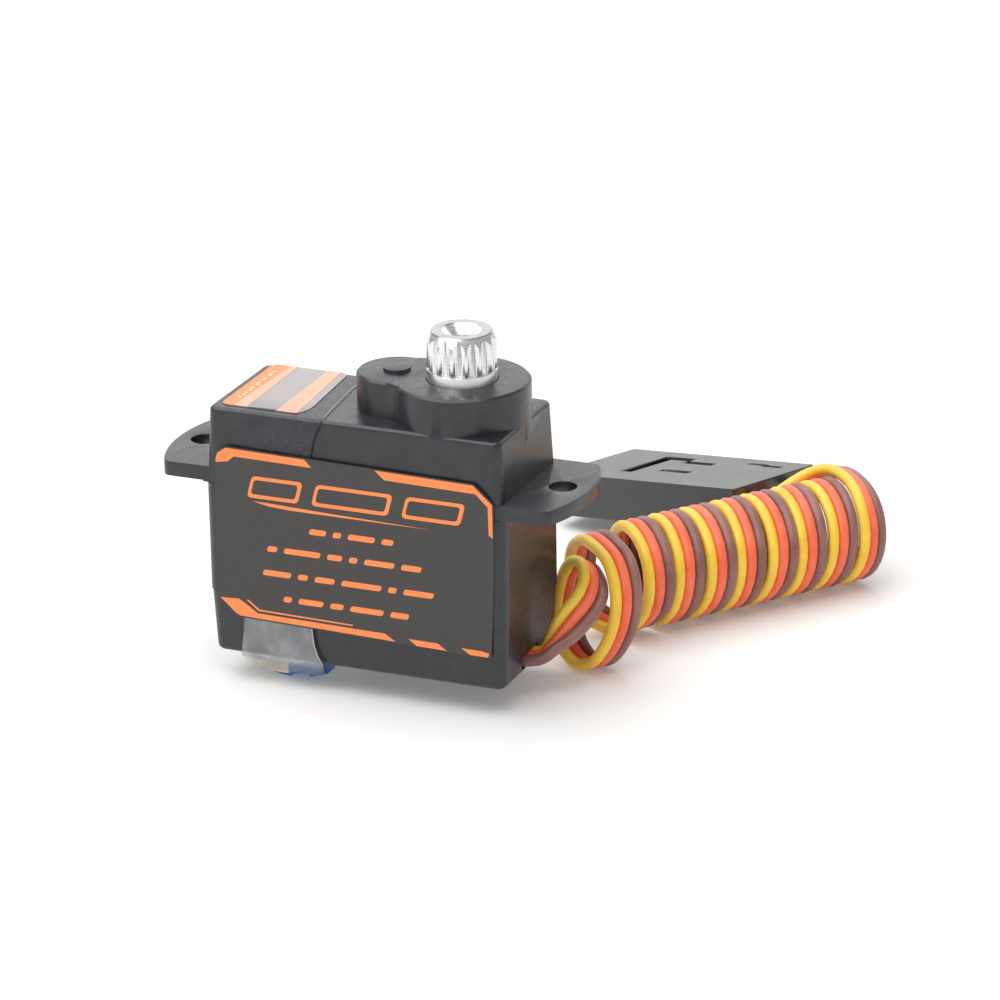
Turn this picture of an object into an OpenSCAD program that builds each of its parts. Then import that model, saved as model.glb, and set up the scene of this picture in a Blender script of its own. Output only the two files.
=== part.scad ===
// Hobby servo motor of the smallest class, with a coiled three wire lead.
// Millimetres. Origin on the output axis at the top of the boss,
// +Z along the output shaft, +X towards the output end, -Y towards the label.

/* [Case] */
// length of the case without its ears
case_length = 18; // [17.6:0.1:18.6]
// width of the case
case_width = 8.2; // [8.2:0.1:8.6]
// distance from the output axis to the near end of the case
output_offset = 4.0; // [3.95:0.05:4.2]
// height of the boss above the case top
boss_height = 2.1; // [2.0:0.05:2.15]
// radius of the upright corners
corner_r = 0.75; // [0.6:0.05:0.9]
// depth of the bottom cover, seam to underside
cover_depth = 3.7; // [3.6:0.05:3.8]

/* [Ears] */
// thickness of the mounting ears
ear_thickness = 0.85; // [0.8:0.05:0.9]
// width of the mounting ears
ear_width = 7.8; // [7.4:0.1:8.0]
// reach of each ear beyond the case
ear_reach = 3.4; // [3.2:0.1:3.8]
// radius of the screw hole in each ear
ear_hole_r = 0.8; // [0.6:0.05:0.9]
// distance between the two ear holes
ear_hole_spacing = 21.7; // [21.4:0.1:22.0]

/* [Output] */
// height of the splined end above the boss
spline_height = 2.8; // [2.4:0.1:3.2]
// outer radius of the spline
spline_r = 1.95; // [1.9:0.01:1.96]
// number of grooves round the spline
spline_grooves = 15; // [13:1:16]
// radius of the horn screw hole
screw_hole_r = 0.6; // [0.5:0.05:0.7]

/* [Gears] */
// gear module
gear_module = 0.2; // [0.198:0.001:0.201]
// radius of the fixed axles and the output pin
axle_r = 0.35; // [0.3:0.01:0.36]
// radius of the bore in each loose gear
gear_bore_r = 0.4; // [0.38:0.01:0.42]

/* [Lead] */
// diameter of one lead wire
wire_d = 0.67; // [0.6:0.01:0.68]
// advance of the coil in one turn
coil_turn = 2.055; // [2.03:0.005:2.08]
// mean radius of the coil
coil_r = 2.87; // [2.8:0.01:2.9]

/* [Hidden] */
$fn = 64;
eps = 0.01;
over = 1;
near = 0.1;
fine_fn = 32;

// case levels
case_right = output_offset;
case_left = output_offset - case_length;
case_mid = (case_left + case_right) / 2;
case_half = case_width / 2;
case_top_z = -boss_height;
ear_top_z = -5.6;
ear_bottom_z = ear_top_z - ear_thickness;
ear_root = 0.12;
ear_root_depth = 0.08;
seam_z = ear_bottom_z - ear_root_depth;
cover_seam_z = -12.9;
case_bottom_z = cover_seam_z - cover_depth;
top_draft = 0.24;
cover_draft = 0.2;
seam_step = 0.04;
top_edge_r = 0.25;
bottom_edge_r = 0.35;
edge_steps = 8;
fit_gap = 0.05;

// inner space
cavity_left = -12;
cavity_right = 3.35;
cavity_half = 3.4;
ceiling_z = -2.7;
deck_bottom_z = seam_z - 0.65;
lip_height = 0.45;
lip_wall = 0.4;
cover_floor = 0.7;
cover_cavity_half = 3.1;
cover_cavity_right = 2.9;
cover_lip = 0.4;
board_ledge_left = -5.9;
cover_lip_left = -5.8;
board_recess = 0.02;
board_ledge_right = 2.8;
board_ledge_half = 2.8;

// boss
boss_r = 3.8;
small_boss_r = 2.25;
small_boss_x = -3.9;
boss_fillet_r = 1.6;
boss_fillet_x = -3.79;
boss_fillet_y = 3.85;
web_inset = 8;
boss_chamfer = 0.12;
disc_r = 0.775;
disc_height = 0.2;
boss_bore_r = 2.0;
boss_roof = 0.6;
big_pocket_r = 3.4;
small_pocket_r = 1.35;

// ears
ear_arc_r = 8.9;
ear_corner_r = 0.6;
ear_hole_mid_x = -5.0;

// drive line positions along X
motor_x = -9.9;
first_x = -6.9;
second_x = -3.9;

// drive line levels
pinion_teeth = 9;
wheel_teeth = 21;
slow_wheel_teeth = 30;
wheel_height = 0.6;
pinion_height = 0.8;
hub_r = 0.6;
hub_bottom_z = seam_z + 0.1;
motor_pinion_z = -5.75;
first_wheel_z = -5.65;
second_wheel_z = -4.9;
third_wheel_z = -4.15;
fourth_wheel_z = -3.4;
output_gear_z = -2.6;
output_gear_height = 1.85;
fourth_pinion_height = 2.0;
half_tooth = 6;

// tooth form
pressure_angle = 20;
tooth_thinning = 0.0075;
addendum_cut = 0.02;
dedendum_factor = 1.25;
flank_steps = 3;
root_narrowing = 0.85;
root_step = 0.02;

// output shaft
neck_r = 1.95;
groove_r = 1.85;
collar_top_z = 0.58;
groove_top_z = 0.66;
flute_r = 0.5;
flute_circle_r = 2.3;
spline_chamfer = 0.55;
spline_chamfer_inset = 0.28;
countersink_r = 1.2;
countersink_depth = 0.5;
screw_hole_bottom_z = 0.25;
pin_top_z = -1.0;
pin_bottom_z = -9.2;

// axles
first_axle_top_z = -3.6;
second_axle_top_z = -0.45;

// motor
can_r = 3.3;
can_wall = 0.25;
can_top_z = deck_bottom_z;
can_bottom_z = -17.0;
bushing_r = 1.0;
shaft_r = 0.4;
shaft_top_z = -4.95;
shaft_bottom_z = -17.3;
bell_r = 3.2;
bell_bottom_z = -17.7;
bell_plug_top_z = -16.4;
cap_r = 2.4;
cap_bottom_z = -18.2;
cap_notch = 0.9;
cap_notch_depth = 0.3;
cap_rim = 0.1;
cap_gap_x = -9.3;
cap_gap_width = 1.0;
bell_flat_x = -8.0;
bell_window_x = -9.6;
bell_window_y = 1.2;
bell_window_top_z = -17.05;
motor_hole_r = 3.38;
motor_pocket_r = 3.35;
armature_r = 1.75;
armature_top_z = -9.0;
armature_bottom_z = -14.4;
commutator_r = 0.8;
commutator_bottom_z = -16.1;
armature_slot_inner = 0.9;
armature_slot_half = 0.2;
magnet_inner_r = 1.95;
magnet_top_z = -8.4;
magnet_bottom_z = -15.0;
magnet_gap_half = 0.8;
brush_gap = 0.06;
brush_thickness = 0.2;
brush_half = 0.4;
brush_top_z = -15.2;

// feedback potentiometer
pot_r = 3.1;
pot_wall = 0.35;
pot_top_z = deck_bottom_z - 0.05;
pot_bottom_z = -9.75;
track_top_z = -9.45;
wiper_r = 2.2;
wiper_hub_r = 0.7;
wiper_bottom_z = -9.3;
wiper_disc_top_z = -9.05;
wiper_hub_bottom_z = -9.2;
wiper_hub_top_z = -8.2;
pot_terminal_x = 1.9;
pot_terminal_pitch = 1.5;
pot_terminal_length = 0.3;
pot_terminal_half = 0.25;

// circuit board
board_left = -6.3;
board_right = 3.2;
board_half = 3.35;
board_top_z = -13.12;
board_bottom_z = -13.6;
control_chip_left = -2.8;
control_chip_size = 3.2;
control_chip_top_z = -12.2;
driver_chip_left = -4.6;
driver_chip_length = 1.8;
driver_chip_width = 1.4;
driver_chip_y = 1.5;
driver_chip_bottom_z = -14.3;
capacitor_left = -1.6;
capacitor_length = 1.0;
capacitor_width = 0.6;
capacitor_y = 2.0;
capacitor_bottom_z = -14.1;
motor_terminal_left = -6.7;
motor_terminal_right = -5.4;
motor_terminal_y = 1.2;
motor_terminal_width = 0.6;
motor_terminal_height = 0.22;
terminal_notch_half = 1.6;

// wire exit
exit_y = -0.1;
exit_z = -15.9;
exit_width = 2.3;
exit_height = 0.8;
inner_wire_x = 1.5;
exit_slot_left = 0.5;
wire_r = wire_d / 2;
tube_sides = 8;

// labels and tape
label_y = -4.24;
label_thickness = 0.14;
top_label_inset = 0.85;
top_label_length = 4.75;
top_label_front_y = -3.06;
top_label_back_y = 3.8;
top_label_thickness = 0.1;
tape_left = -11.8;
tape_width = 4.4;
tape_thickness = 0.05;

// coil
coil_angle = 51.5;
coil_turns = 7.5;
coil_start = [5.33, 10.58, -14.95];
coil_end_margin = 1.0;
coil_length = coil_turn * coil_turns;

// plug
plug_pos = [9.7, 23.7, -14.3];
plug_turn = [-5, -9, -18];
plug_length = 14;
plug_width = 7.6;
plug_height = 2.6;
plug_pitch = 2.54;
slot_depth = 0.4;
// slots in the top of the plug: x from, x to, y from, y to
plug_slots = [
  [-10.3, -9.4, -1.9, 2.6], [-9.5, -8.0, 1.9, 2.6], [-8.1, -5.9, 1.3, 1.9],
  [-8.0, -5.8, -1.1, -0.5], [-4.0, -2.6, 2.4, 2.8], [-2.7, -1.4, 2.2, 2.6]
];
cavity_half_width = 0.85;
cavity_half_height = 0.75;
cavity_end_x = -1.5;
wire_hole_half_width = 0.55;
wire_hole_half_height = 0.5;
contact_left = -11;
contact_mouth_left = -12;
contact_mouth_right = -4;
contact_half_width = 0.7;
contact_bottom = -0.75;
contact_top = 0.55;
contact_mouth_half_width = 0.4;
contact_mouth_bottom = -0.45;
contact_mouth_top = 0.3;

// lead from the case: centre of the middle wire and direction across the three wires
lead_start = [
  [[4, -0.1, -15.9], [0, -1, 0]],
  [[4.6, 0, -15.7], [0.1, -1, -0.1]],
  [[5.1, 0.3, -15.1], [0.35, -0.85, -0.25]],
  [[5.6, 0.8, -14.4], [0.6, -0.5, -0.5]],
  [[6, 1.4, -13.8], [0.72, -0.2, -0.62]],
  [[6.3, 2, -13.3], [0.76, 0, -0.65]],
  [[6.4, 2.7, -12.8], [0.75, 0.2, -0.65]],
  [[6.2, 3.4, -12.3], [0.6, 0.45, -0.65]],
  [[5.7, 4.1, -12], [0.35, 0.7, -0.6]],
  [[5, 4.7, -12.1], [0.2, 0.8, -0.55]],
  [[4.3, 5.2, -12.8], [0.35, 0.85, -0.3]],
  [[3.9, 5.5, -13.9], [0.6, 0.8, 0]],
  [[3.7, 5.6, -15.2], [0.6, 0.8, 0]],
  [[3.8, 5.4, -16.4], [0.6, 0.8, 0]],
  [[4.4, 5, -17.4], [0.6, 0.8, -0.05]],
  [[5.3, 4.5, -17.8], [0.6, 0.8, -0.05]],
  [[6.3, 4.1, -17.5], [0.6, 0.8, -0.05]],
  [[7.1, 3.8, -16.6], [0.6, 0.8, 0]],
  [[7.8, 3.6, -15.2], [0.6, 0.8, 0]],
  [[8.1, 3.6, -13.7], [0.6, 0.8, 0]],
  [[7.9, 3.9, -12.4], [0.6, 0.8, 0]],
  [[7.2, 4.6, -11.4], [0.6, 0.8, 0]],
  [[6.1, 5.5, -11], [0.6, 0.8, 0]],
  [[5, 6.5, -11.1], [0.6, 0.8, 0]],
  [[4, 7.5, -12], [0.6, 0.8, 0]],
  [[3.4, 8.4, -13.6], [0.6, 0.8, 0]],
  [[3.2, 9, -15.2], [0.6, 0.8, 0]],
  [[3.4, 9.3, -16.4], [0.4, 0.9, 0]],
  [[4.2, 9.6, -17.3], [0.3, 0.95, 0]],
  [[5.4, 9.8, -17.7], [0.5, 0.85, 0]],
  [[6.7, 9.5, -17.2], [0.6, 0.8, 0]]
];

// lead from the coil to the plug, with the distance between its wires, which part to enter the plug
lead_end = [
  [[13.5, 24, -12.25], [0.56, 0.71, -0.42], wire_d],
  [[12.25, 23.95, -12.49], [0.43, 0.86, -0.26], 1.15],
  [[11.03, 23.77, -13.18], [0.32, 0.94, -0.09], 1.95],
  [[10.08, 23.68, -14.05], [0.32, 0.94, -0.09], 2.45],
  [[8.39, 24.13, -14.52], [0.32, 0.94, -0.09], plug_pitch]
];

// half width of a drafted wall at a given height
function wall_at(base, inset, height, z) = base - inset * z / height;

function arc(x, y, r, a0, a1, steps) =
  [for (i = [0 : steps]) let (a = a0 + (a1 - a0) * i / steps) [x + r * cos(a), y + r * sin(a)]];

// 2D wall profile with a rounded top corner, from the foot to the top
function edge_points(base, inset, height, r) =
  let (
    slope = atan(inset / height),
    centre_x = wall_at(base, inset, height, height - r) - r / cos(slope)
  )
  concat([[base, 0]], arc(centre_x, height - r, r, slope, 90, edge_steps));

module edge_profile(base, inset, height, r) {
  polygon(concat([[0, 0]], edge_points(base, inset, height, r), [[0, height]]));
}

module full_profile(base, inset, height, r) {
  right = edge_points(base, inset, height, r);
  polygon(concat(right, [for (i = [len(right) - 1 : -1 : 0]) [-right[i][0], right[i][1]]]));
}

// block with upright rounded corners, drafted walls and a rounded top edge
module drafted_block(length, width, height, rc, inset, r) {
  flat_l = length - 2 * rc;
  flat_w = width - 2 * rc;
  translate([0, flat_w / 2, 0]) rotate([90, 0, 0])
    linear_extrude(flat_w) full_profile(length / 2, inset, height, r);
  translate([-flat_l / 2, 0, 0]) rotate([90, 0, 90])
    linear_extrude(flat_l) full_profile(width / 2, inset, height, r);
  for (k = [0 : 3]) {
    x = (k == 0 || k == 3 ? 1 : -1) * flat_l / 2;
    y = (k < 2 ? 1 : -1) * flat_w / 2;
    translate([x, y, 0]) rotate(90 * k)
      rotate_extrude(angle = 90) edge_profile(rc, inset, height, r);
  }
}

// plain block between two levels
module slab(x0, x1, y0, y1, z0, z1) {
  translate([x0, y0, z0]) cube([x1 - x0, y1 - y0, z1 - z0]);
}

module rod(x, y, r, z0, z1, sides = 64) {
  translate([x, y, z0]) cylinder(r = r, h = z1 - z0, $fn = sides);
}

module rounded_rect(length, width, r) {
  square([length - 2 * r, width], center = true);
  square([length, width - 2 * r], center = true);
  for (x = [-1, 1])
    for (y = [-1, 1])
      translate([x * (length / 2 - r), y * (width / 2 - r)]) circle(r = r);
}

// outline of one mounting ear, reaching towards -X from the origin
module ear_outline() {
  centre_x = ear_arc_r - ear_reach;
  half = ear_width / 2;
  fillet_y = half - ear_corner_r;
  fillet_x = centre_x - sqrt(pow(ear_arc_r - ear_corner_r, 2) - pow(fillet_y, 2));
  turn = atan2(fillet_y, fillet_x - centre_x);
  polygon(concat(
    [[over, half]],
    arc(fillet_x, fillet_y, ear_corner_r, 90, turn, 8),
    arc(centre_x, 0, ear_arc_r, turn + 1, 359 - turn, 30),
    arc(fillet_x, -fillet_y, ear_corner_r, 360 - turn, 270, 8),
    [[over, -half]]
  ));
}

// bridge between the two round bosses, with hollow sides
module boss_web(fillet_r) {
  to_big = atan2(-boss_fillet_y, -boss_fillet_x) - web_inset;
  to_small = atan2(-boss_fillet_y, small_boss_x - boss_fillet_x) + web_inset;
  upper = arc(boss_fillet_x, boss_fillet_y, fillet_r, to_big, to_small, 16);
  lower = arc(boss_fillet_x, -boss_fillet_y, fillet_r, -to_small, -to_big, 16);
  polygon(concat([[0, 0]], upper, [[small_boss_x, 0]], lower));
}

module boss() {
  straight = boss_height - boss_chamfer + over;
  translate([0, 0, case_top_z - over]) {
    cylinder(r = boss_r, h = straight, $fn = 96);
    translate([small_boss_x, 0, 0]) cylinder(r = small_boss_r, h = straight);
    linear_extrude(straight) boss_web(boss_fillet_r);
  }
  translate([0, 0, -boss_chamfer]) {
    cylinder(r1 = boss_r, r2 = boss_r - boss_chamfer, h = boss_chamfer, $fn = 96);
    translate([small_boss_x, 0, 0])
      cylinder(r1 = small_boss_r, r2 = small_boss_r - boss_chamfer, h = boss_chamfer);
    linear_extrude(boss_chamfer) boss_web(boss_fillet_r + boss_chamfer / 2);
  }
  rod(small_boss_x, 0, disc_r, -eps, disc_height);
}

module upper_case() {
  color("#1d1e20")
  difference() {
    union() {
      translate([case_mid, 0, seam_z])
        drafted_block(case_length - 2 * seam_step, case_width - 2 * seam_step,
          case_top_z - seam_z, corner_r, top_draft, top_edge_r);
      translate([case_left, 0, ear_bottom_z]) linear_extrude(ear_thickness) ear_outline();
      translate([case_right, 0, ear_bottom_z]) mirror([1, 0, 0])
        linear_extrude(ear_thickness) ear_outline();
      slab(case_left - ear_root, case_left + over, -ear_width / 2, ear_width / 2,
        seam_z, ear_bottom_z + eps);
      slab(case_right - over, case_right + ear_root, -ear_width / 2, ear_width / 2,
        seam_z, ear_bottom_z + eps);
      boss();
    }
    slab(cavity_left, cavity_right, -cavity_half, cavity_half, seam_z - eps, ceiling_z);
    rod(0, 0, big_pocket_r, ceiling_z - near, -boss_roof);
    rod(second_x, 0, small_pocket_r, ceiling_z - near, -boss_roof);
    rod(0, 0, boss_bore_r, -boss_roof - near, eps);
    rod(second_x, 0, axle_r, -boss_roof - near, second_axle_top_z);
    for (s = [-1, 1])
      rod(ear_hole_mid_x + s * ear_hole_spacing / 2, 0, ear_hole_r, seam_z - eps, ear_top_z + eps);
  }
}

module middle_case() {
  color("#1d1e20")
  difference() {
    union() {
      translate([case_mid, 0, cover_seam_z])
        linear_extrude(seam_z - cover_seam_z) rounded_rect(case_length, case_width, corner_r);
      slab(cavity_left + fit_gap, cavity_right - fit_gap, fit_gap - cavity_half,
        cavity_half - fit_gap, seam_z - eps, seam_z + lip_height);
    }
    slab(cavity_left + fit_gap + lip_wall, cavity_right - lip_wall, lip_wall - cavity_half,
      cavity_half - lip_wall, seam_z, seam_z + over);
    rod(motor_x, 0, motor_pocket_r, cover_seam_z - eps, deck_bottom_z);
    slab(motor_x, cavity_right, -motor_pocket_r, motor_pocket_r, cover_seam_z - eps, deck_bottom_z);
    rod(motor_x, 0, bushing_r + fit_gap, deck_bottom_z - eps, seam_z + eps);
    rod(first_x, 0, axle_r, deck_bottom_z - eps, seam_z + eps);
    rod(second_x, 0, axle_r, deck_bottom_z - eps, seam_z + eps);
    rod(0, 0, gear_bore_r, deck_bottom_z - eps, seam_z + eps);
  }
}

module bottom_cover() {
  color("#1d1e20")
  difference() {
    union() {
      translate([case_mid, 0, cover_seam_z]) mirror([0, 0, 1])
        drafted_block(case_length - 2 * seam_step, case_width - 2 * seam_step, cover_depth,
          corner_r, cover_draft, bottom_edge_r);
      difference() {
        slab(cover_lip_left, cavity_right - fit_gap, fit_gap - motor_pocket_r,
          motor_pocket_r - fit_gap, cover_seam_z - eps, cover_seam_z + cover_lip);
        slab(board_ledge_left, board_ledge_right, -board_ledge_half, board_ledge_half,
          cover_seam_z - near, cover_seam_z + over);
      }
    }
    slab(board_left - fit_gap, cavity_right, -cavity_half, cavity_half,
      board_bottom_z, cover_seam_z - board_recess);
    slab(board_ledge_left, board_ledge_right, -board_ledge_half, board_ledge_half,
      board_bottom_z, cover_seam_z + near);
    slab(motor_terminal_left - near, board_left, -terminal_notch_half, terminal_notch_half,
      board_top_z, cover_seam_z + eps);
    slab(motor_x, cover_cavity_right, -cover_cavity_half, cover_cavity_half,
      case_bottom_z + cover_floor, board_bottom_z + eps);
    rod(motor_x, 0, motor_hole_r, case_bottom_z - eps, cover_seam_z + eps);
    slab(exit_slot_left, case_right + eps, exit_y - exit_width / 2, exit_y + exit_width / 2,
      exit_z - exit_height / 2, exit_z + exit_height / 2);
  }
}

// involute function of an angle, in degrees
function inv(a) = tan(a) * 180 / PI - a;
// half angle of a tooth at radius r
function half_angle(teeth, r) =
  let (pitch_r = gear_module * teeth / 2, base_r = pitch_r * cos(pressure_angle))
  (PI * gear_module / 4 - tooth_thinning) / pitch_r * 180 / PI
  + inv(pressure_angle) - inv(acos(min(1, base_r / max(r, base_r))));
function polar(r, a) = [r * cos(a), r * sin(a)];
function tooth_points(teeth, k) =
  let (
    step = 360 / teeth,
    pitch_r = gear_module * teeth / 2,
    base_r = pitch_r * cos(pressure_angle),
    root_r = pitch_r - dedendum_factor * gear_module,
    tip_r = pitch_r + gear_module - addendum_cut,
    low_r = max(base_r, root_r + root_step),
    root_half = half_angle(teeth, low_r) * root_narrowing
  )
  concat(
    [polar(root_r, k * step - root_half)],
    [for (i = [0 : flank_steps])
      let (r = low_r + (tip_r - low_r) * i / flank_steps)
      polar(r, k * step - half_angle(teeth, r))],
    [for (i = [flank_steps : -1 : 0])
      let (r = low_r + (tip_r - low_r) * i / flank_steps)
      polar(r, k * step + half_angle(teeth, r))],
    [polar(root_r, k * step + root_half)],
    [polar(root_r, (k + 0.5) * step)]
  );
module gear_outline(teeth) {
  polygon([for (k = [0 : teeth - 1]) each tooth_points(teeth, k)]);
}

// loose gear: wheel below, pinion above, hub down to the deck
module compound_gear(x, wheel, phase, wheel_z, pinion_h) {
  difference() {
    translate([x, 0, 0]) {
      translate([0, 0, wheel_z]) rotate(phase) linear_extrude(wheel_height) gear_outline(wheel);
      translate([0, 0, wheel_z + wheel_height - eps])
        linear_extrude(pinion_h + eps) gear_outline(pinion_teeth);
    }
    rod(x, 0, gear_bore_r, wheel_z - over, wheel_z + wheel_height + pinion_h + over);
  }
}

module gear_hub(x, wheel_z) {
  difference() {
    rod(x, 0, hub_r, hub_bottom_z, wheel_z + eps);
    rod(x, 0, gear_bore_r, hub_bottom_z - over, wheel_z + over);
  }
}

module first_gear() {
  color("#e8e2d2") {
    compound_gear(first_x, wheel_teeth, 0, first_wheel_z, pinion_height);
    gear_hub(first_x, first_wheel_z);
  }
}

module second_gear() {
  color("#e8e2d2") {
    compound_gear(second_x, wheel_teeth, 0, second_wheel_z, pinion_height);
    gear_hub(second_x, second_wheel_z);
  }
}

module third_gear() {
  color("#e8e2d2") {
    compound_gear(0, slow_wheel_teeth, half_tooth, third_wheel_z, pinion_height);
    gear_hub(0, third_wheel_z);
  }
}

module fourth_gear() {
  color("#e8e2d2")
    compound_gear(second_x, slow_wheel_teeth, 0, fourth_wheel_z, fourth_pinion_height);
}

module output_gear() {
  chamfer_z = spline_height - spline_chamfer;
  color("#c9cacb")
  difference() {
    union() {
      translate([0, 0, output_gear_z]) rotate(half_tooth)
        linear_extrude(output_gear_height) gear_outline(slow_wheel_teeth);
      rod(0, 0, neck_r, output_gear_z + output_gear_height - eps, collar_top_z);
      rod(0, 0, groove_r, collar_top_z - eps, groove_top_z + eps);
      difference() {
        union() {
          rod(0, 0, spline_r, groove_top_z, chamfer_z);
          translate([0, 0, chamfer_z]) cylinder(r1 = spline_r,
            r2 = spline_r - spline_chamfer_inset, h = spline_chamfer);
        }
        for (k = [0 : spline_grooves - 1])
          rotate(k * 360 / spline_grooves)
            rod(flute_circle_r, 0, flute_r, groove_top_z - eps, spline_height + over,
              fine_fn);
      }
    }
    rod(0, 0, screw_hole_r, screw_hole_bottom_z, spline_height + over);
    translate([0, 0, spline_height - countersink_depth])
      cylinder(r1 = screw_hole_r, r2 = countersink_r, h = countersink_depth + eps);
    rod(0, 0, axle_r, output_gear_z - over, pin_top_z);
  }
}

module output_pin() {
  color("#b9bcc0") rod(0, 0, axle_r, pin_bottom_z, pin_top_z);
}

module motor_pinion() {
  color("#c8a24a")
  translate([motor_x, 0, motor_pinion_z])
    difference() {
      linear_extrude(pinion_height) gear_outline(pinion_teeth);
      rod(0, 0, shaft_r, -over, pinion_height + over);
    }
}

module first_axle() {
  color("#b9bcc0") rod(first_x, 0, axle_r, deck_bottom_z, first_axle_top_z);
}

module second_axle() {
  color("#b9bcc0") rod(second_x, 0, axle_r, deck_bottom_z, second_axle_top_z);
}

module motor_can() {
  color("#b4b6b9")
  difference() {
    rod(motor_x, 0, can_r, can_bottom_z, can_top_z);
    rod(motor_x, 0, can_r - can_wall, can_bottom_z - over, can_top_z - can_wall);
    rod(motor_x, 0, bushing_r, can_top_z - over, can_top_z + over);
  }
}

module motor_magnets() {
  color("#3a3b3d")
  difference() {
    rod(motor_x, 0, can_r - can_wall, magnet_bottom_z, magnet_top_z);
    rod(motor_x, 0, magnet_inner_r, magnet_bottom_z - over, magnet_top_z + over);
    slab(motor_x - can_r, motor_x + can_r, -magnet_gap_half, magnet_gap_half,
      magnet_bottom_z - over, magnet_top_z + over);
  }
}

module motor_armature() {
  color("#9a5b34")
  difference() {
    union() {
      rod(motor_x, 0, armature_r, armature_bottom_z, armature_top_z);
      rod(motor_x, 0, commutator_r, commutator_bottom_z, armature_bottom_z + eps);
    }
    for (a = [0, 120, 240])
      translate([motor_x, 0, 0]) rotate(a)
        slab(armature_slot_inner, armature_r + over, -armature_slot_half, armature_slot_half,
          armature_bottom_z - eps, armature_top_z + over);
    rod(motor_x, 0, shaft_r, commutator_bottom_z - over, armature_top_z + over);
  }
}

module motor_shaft() {
  color("#b9bcc0") rod(motor_x, 0, shaft_r, shaft_bottom_z, shaft_top_z);
}

module motor_bushing() {
  color("#b08a45")
  difference() {
    rod(motor_x, 0, bushing_r, can_top_z - can_wall, seam_z);
    rod(motor_x, 0, shaft_r + fit_gap, can_top_z - over, seam_z + over);
  }
}

module motor_brushes() {
  inner = commutator_r + brush_gap;
  color("#b98a4e")
  for (s = [0, 180])
    translate([motor_x, 0, 0]) rotate(s)
      slab(inner, inner + brush_thickness, -brush_half, brush_half, bell_plug_top_z, brush_top_z);
}

module motor_end_bell() {
  color("#d9d2bd")
  difference() {
    union() {
      intersection() {
        rod(motor_x, 0, bell_r, bell_bottom_z, can_bottom_z);
        flat_side();
      }
      rod(motor_x, 0, can_r - can_wall, can_bottom_z - eps, bell_plug_top_z);
    }
    rod(motor_x, 0, shaft_r + fit_gap, shaft_bottom_z - fit_gap, bell_plug_top_z + over);
    bell_window(0);
  }
}

// everything on the near side of the flat of the motor end
module flat_side() {
  slab(motor_x - bell_r - over, bell_flat_x, -bell_r - over, bell_r + over,
    cap_bottom_z - over, can_bottom_z + over);
}

// corner of the end bell that the cap fills, on both sides
module bell_window(gap) {
  for (s = [-1, 1])
    slab(bell_window_x + gap, bell_flat_x + over, s * bell_window_y - bell_r / 2 + s * bell_r / 2,
      s * bell_window_y + bell_r / 2 + s * bell_r / 2, bell_bottom_z - eps, bell_window_top_z);
}

module motor_end_cap() {
  color("#1f5fb8")
  difference() {
    intersection() {
      union() {
        rod(motor_x, 0, cap_r, cap_bottom_z, bell_bottom_z);
        intersection() {
          rod(motor_x, 0, bell_r - fit_gap, bell_bottom_z - cap_rim, bell_window_top_z);
          bell_window(fit_gap);
        }
      }
      flat_side();
    }
    slab(motor_x - cap_r, motor_x + cap_r, -cap_notch / 2, cap_notch / 2,
      cap_bottom_z - eps, cap_bottom_z + cap_notch_depth);
    slab(-cap_gap_width / 2 + cap_gap_x, cap_gap_width / 2 + cap_gap_x, -cap_r, cap_r,
      cap_bottom_z - eps, cap_bottom_z + cap_notch_depth);
  }
}

module pot_body() {
  color("#c2b79a")
  difference() {
    rod(0, 0, pot_r, pot_bottom_z, pot_top_z);
    rod(0, 0, pot_r - pot_wall, pot_bottom_z - over, pot_top_z - pot_wall);
    rod(0, 0, gear_bore_r, pot_top_z - over, pot_top_z + over);
  }
}

module pot_track() {
  color("#5a3d24") rod(0, 0, pot_r - pot_wall, pot_bottom_z, track_top_z);
}

module pot_wiper() {
  color("#c9a85a")
  difference() {
    union() {
      rod(0, 0, wiper_r, wiper_bottom_z, wiper_disc_top_z);
      rod(0, 0, wiper_hub_r, wiper_hub_bottom_z, wiper_hub_top_z);
    }
    rod(0, 0, axle_r, pin_bottom_z, wiper_hub_top_z + over);
  }
}

module pot_terminals() {
  color("#c9a85a")
  for (k = [-1, 0, 1])
    slab(pot_terminal_x, pot_terminal_x + pot_terminal_length,
      k * pot_terminal_pitch - pot_terminal_half, k * pot_terminal_pitch + pot_terminal_half,
      board_top_z, pot_bottom_z);
}

module circuit_board() {
  color("#1f6b3a") slab(board_left, board_right, -board_half, board_half,
    board_bottom_z, board_top_z);
}

module control_chip() {
  color("#202124") slab(control_chip_left, control_chip_left + control_chip_size,
    -control_chip_size / 2, control_chip_size / 2, board_top_z, control_chip_top_z);
}

module driver_chips() {
  color("#202124")
  for (s = [-1, 1])
    slab(driver_chip_left, driver_chip_left + driver_chip_length,
      s * driver_chip_y - driver_chip_width / 2, s * driver_chip_y + driver_chip_width / 2,
      driver_chip_bottom_z, board_bottom_z);
}

module capacitors() {
  color("#b58b5c")
  for (s = [-1, 1])
    slab(capacitor_left, capacitor_left + capacitor_length,
      s * capacitor_y - capacitor_width / 2, s * capacitor_y + capacitor_width / 2,
      capacitor_bottom_z, board_bottom_z);
}

module motor_terminals() {
  color("#c9a85a")
  for (s = [-1, 1])
    slab(motor_terminal_left, motor_terminal_right,
      s * motor_terminal_y - motor_terminal_width / 2,
      s * motor_terminal_y + motor_terminal_width / 2,
      board_top_z, board_top_z + motor_terminal_height);
}

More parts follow.
